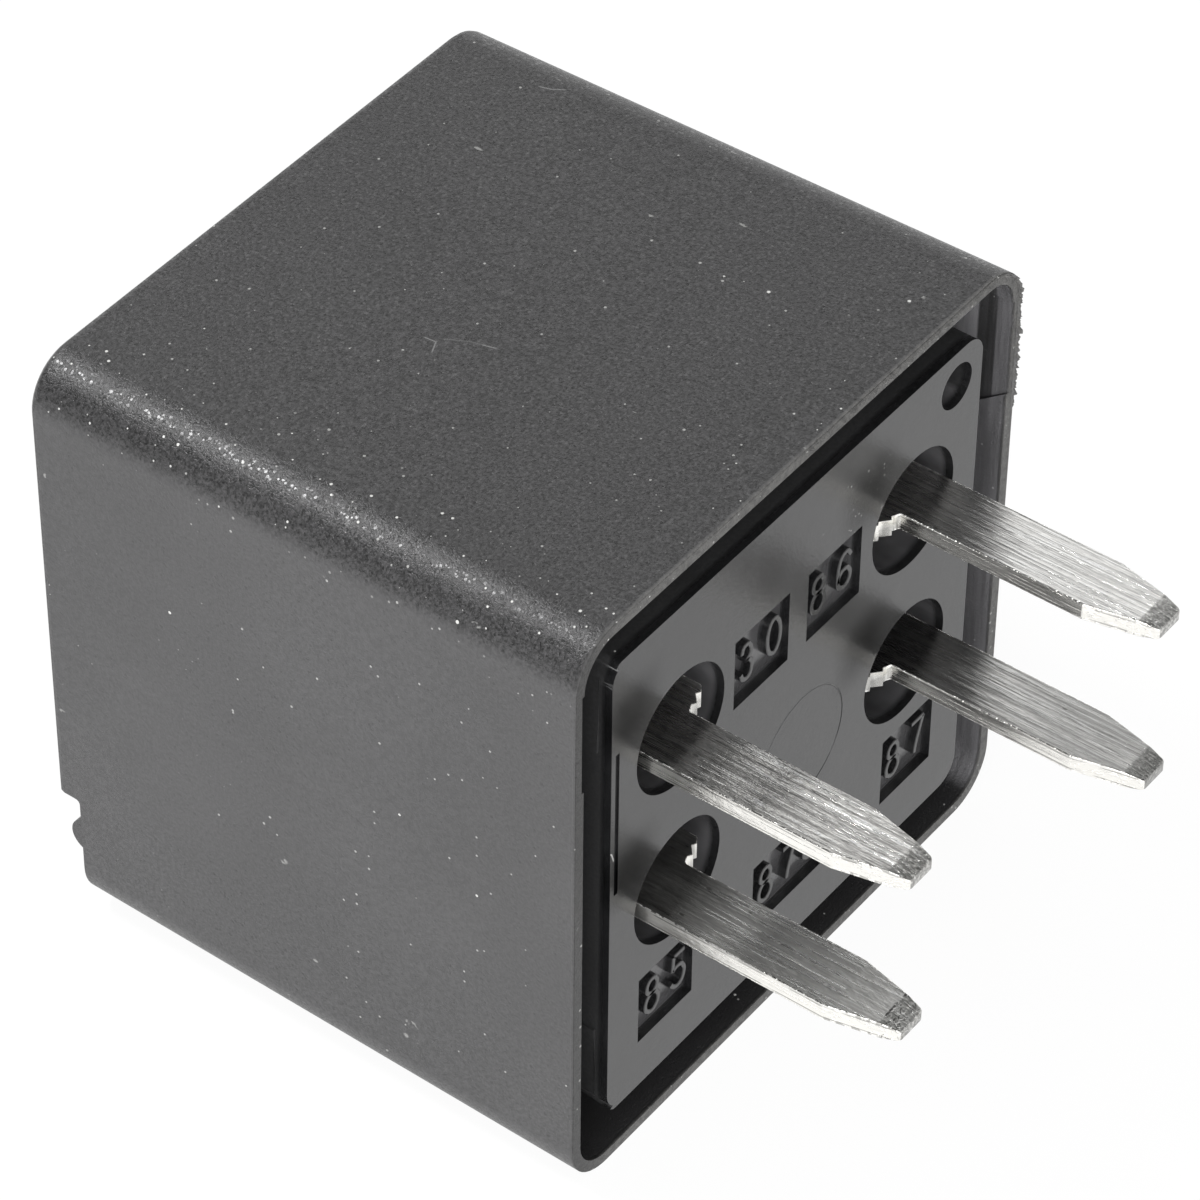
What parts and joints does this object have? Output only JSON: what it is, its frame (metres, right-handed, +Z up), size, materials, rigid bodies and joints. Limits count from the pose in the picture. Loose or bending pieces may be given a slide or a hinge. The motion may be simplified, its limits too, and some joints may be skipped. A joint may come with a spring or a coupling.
{
  "type": "automotive relay",
  "caption": "Plug-in automotive relay with blade terminals: a square black cover over a coil, yoke and hinged armature that closes one contact.",
  "frame": {"origin": "middle of the cover's open rim, in the plane of the rim", "axes": "+X points out along the blade terminals, +Z is up as the relay lies on its side with the terminal numbers upright, +Y is to the right when looking at the terminals"},
  "size_m": [0.0367, 0.028, 0.0282],
  "materials": {
    "cover_plastic": "fine grained moulded black",
    "base_plastic": "satin moulded black",
    "tinned_terminal": "tinned, drawn along its length",
    "plated_iron": "zinc plated",
    "bobbin_plastic": "natural nylon",
    "enamelled_copper": "enamelled wire",
    "spring_bronze": "rolled bronze",
    "contact_silver": "silver alloy",
    "rivet_brass": "brass",
    "spring_steel": "spring steel",
    "bare_copper": "stranded copper",
    "resistor_lacquer": "lacquered"
  },
  "bodies": {
    "relay": {"cover": "cover_plastic", "base": "base_plastic", "terminal_30": "tinned_terminal", "terminal_85": "tinned_terminal", "terminal_86": "tinned_terminal", "terminal_87": "tinned_terminal", "yoke": "plated_iron", "core": "plated_iron", "bobbin": "bobbin_plastic", "coil_winding": "enamelled_copper", "fixed_contact": "contact_silver", "tab_rivets": "rivet_brass", "return_spring": "spring_steel", "braid": "bare_copper", "backstop": "spring_steel", "suppression_resistor": "resistor_lacquer"},
    "armature": {"armature": "plated_iron", "contact_leaf": "spring_bronze", "moving_contact": "contact_silver", "leaf_rivets": "rivet_brass"}
  },
  "joints": [
    {"name": "armature_swing", "type": "hinge", "parent": "relay", "child": "armature", "pos_m": [-0.01975, 0, 0.008], "axis": [0, -1, 0], "range_deg": [0, 2.49], "stiffness_Nm_per_rad": 0.05, "springref_deg": -5.73}
  ]
}
